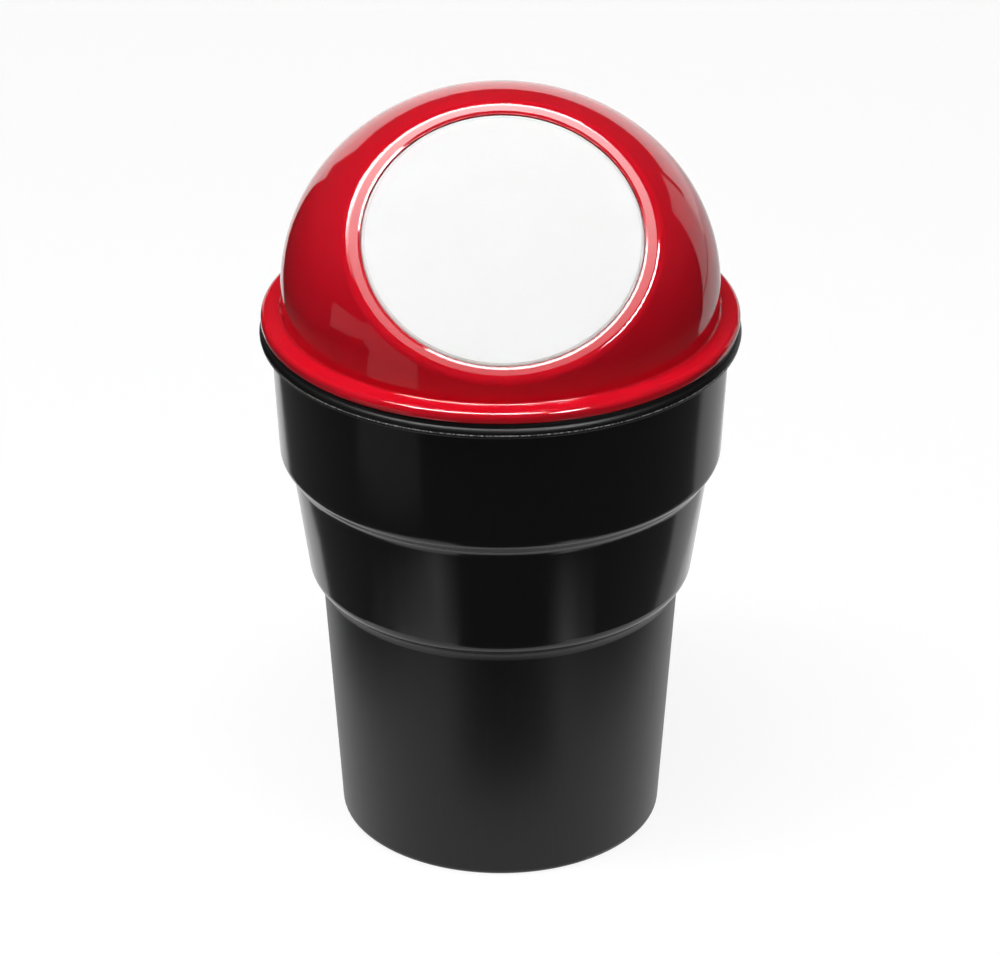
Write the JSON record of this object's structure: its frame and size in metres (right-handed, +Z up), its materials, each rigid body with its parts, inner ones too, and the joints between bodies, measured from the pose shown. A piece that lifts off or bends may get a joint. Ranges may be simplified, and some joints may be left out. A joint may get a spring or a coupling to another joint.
{
  "type": "car trash bin",
  "caption": "Small litter bin for a car cup holder: stepped black cup with soft shoulders and a rim bead, plug-in red dome lid and a white round press flap on a sprung hinge in the slanted opening.",
  "frame": {"origin": "centre of the foot's underside", "axes": "+Z up the bin's axis, the slanted opening faces -Y, +X across the flap's hinge"},
  "size_m": [0.0972, 0.0972, 0.1589],
  "materials": {
    "cup_plastic": "moulded black plastic, glossy upper tiers, satin lower tier and rim",
    "lid_plastic": "polished red moulded plastic",
    "flap_plastic": "white moulded plastic, bare face",
    "steel": "drawn steel wire and pin"
  },
  "bodies": {
    "cup": {"bin_cup": "cup_plastic"},
    "lid": {"dome_lid": "lid_plastic", "hinge_pin": "steel", "return_spring": "steel"},
    "flap": {"flap": "flap_plastic"}
  },
  "joints": [
    {"name": "lid_lift", "type": "slide", "parent": "cup", "child": "lid", "axis": [0, 0, 1], "range_m": [0, 0.06]},
    {"name": "flap_hinge", "type": "hinge", "parent": "lid", "child": "flap", "pos_m": [0, 0.00405, 0.15395], "axis": [1, 0, 0], "range_deg": [0, 65], "stiffness_Nm_per_rad": 0.01, "springref_deg": -34.38, "deforming": ["return_spring"]}
  ]
}
